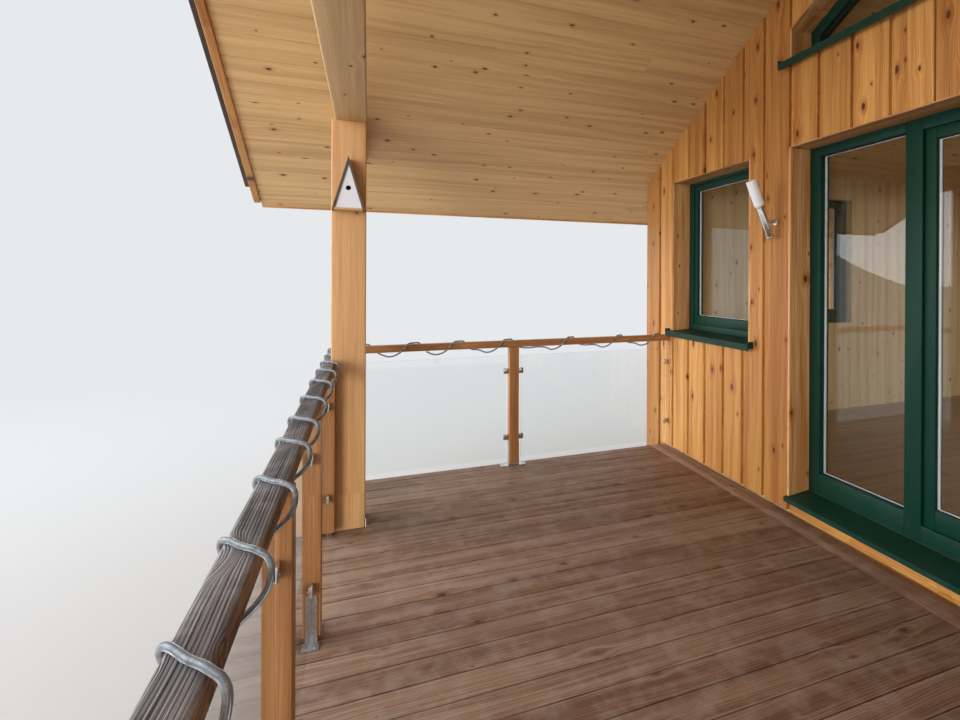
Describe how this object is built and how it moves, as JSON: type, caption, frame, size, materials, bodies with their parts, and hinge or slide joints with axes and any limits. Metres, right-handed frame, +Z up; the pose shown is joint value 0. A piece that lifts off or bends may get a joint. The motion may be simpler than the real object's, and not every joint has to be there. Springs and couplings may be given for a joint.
{
  "type": "timber chalet with a roofed terrace",
  "caption": "Small timber chalet: gable roof over a front terrace with glass railing, board cladding, green windows and a terrace door that opens inwards.",
  "frame": {"origin": "on the ground, under the middle of the roof", "axes": "+Z up, +Y along the ridge from the terrace to the back, +X to the right as seen from the front"},
  "size_m": [8.31, 11.365, 5.1262],
  "materials": {
    "concrete": "matt",
    "interior_wood": "satin",
    "substructure_wood": "matt",
    "deck_wood": "matt",
    "larch_cladding": "satin",
    "larch_posts": "satin",
    "spruce_ceiling": "satin",
    "spruce_beam": "satin",
    "dark_board": "matt",
    "roof_sheet": "satin",
    "green_paint": "satin",
    "green_sheet": "satin",
    "window_glazing": "polished",
    "clear_glass": "polished",
    "zinc_steel": "galvanised",
    "polished_steel": "polished",
    "weathered_rail": "weathered",
    "rope_tube": "clear tube",
    "lamp_metal": "brushed",
    "lamp_white": "frosted",
    "nest_wood": "matt",
    "nest_white": "painted"
  },
  "bodies": {
    "house": {"plinth_side_walls": "concrete", "plinth_end_walls": "concrete", "deck_piers": "concrete", "house_floor": "interior_wood", "deck_bearers": "substructure_wood", "deck_joists": "substructure_wood", "deck_floor": "deck_wood", "deck_border_board": "deck_wood", "front_wall_left": "interior_wood", "front_wall_right": "interior_wood", "front_wall_sill": "interior_wood", "front_gable_wall": "interior_wood", "left_wall": "interior_wood", "right_wall": "interior_wood", "back_wall": "interior_wood", "front_cladding": "larch_cladding", "back_cladding": "larch_cladding", "side_cladding": "larch_cladding", "roof_panel_left": "spruce_ceiling", "roof_panel_right": "spruce_ceiling", "roof_covering": "roof_sheet", "ridge_cap": "roof_sheet", "barge_boards": "larch_cladding", "verge_boards": "dark_board", "eave_boards": "larch_cladding", "main_posts": "larch_posts", "tie_beam": "spruce_beam", "rail_posts": "larch_posts", "rail_post_feet": "zinc_steel", "handrail_front": "weathered_rail", "handrails_side": "weathered_rail", "rail_glass": "clear_glass", "glass_clamps": "polished_steel", "rope_light": "rope_tube", "door_frame": "green_paint", "door_fixed_glass": "window_glazing", "door_hinge_pins": "polished_steel", "door_threshold": "green_sheet", "door_lining": "larch_cladding", "window_frames": "green_paint", "window_glass": "window_glazing", "window_sills": "green_sheet", "window_linings": "larch_cladding", "gable_window_frames": "green_paint", "gable_window_glass": "window_glazing", "wall_lamp": "lamp_metal", "lamp_diffuser": "lamp_white", "nest_box": "nest_wood", "nest_box_front": "nest_white"},
    "door_leaf": {"door_leaf": "green_paint", "door_leaf_glass": "window_glazing", "door_hinge_sleeves": "polished_steel"}
  },
  "joints": [
    {"name": "terrace_door_hinge", "type": "hinge", "parent": "house", "child": "door_leaf", "pos_m": [0.4205, -1.7732, 0.6], "axis": [0, 0, -1], "range_deg": [0, 90]}
  ]
}
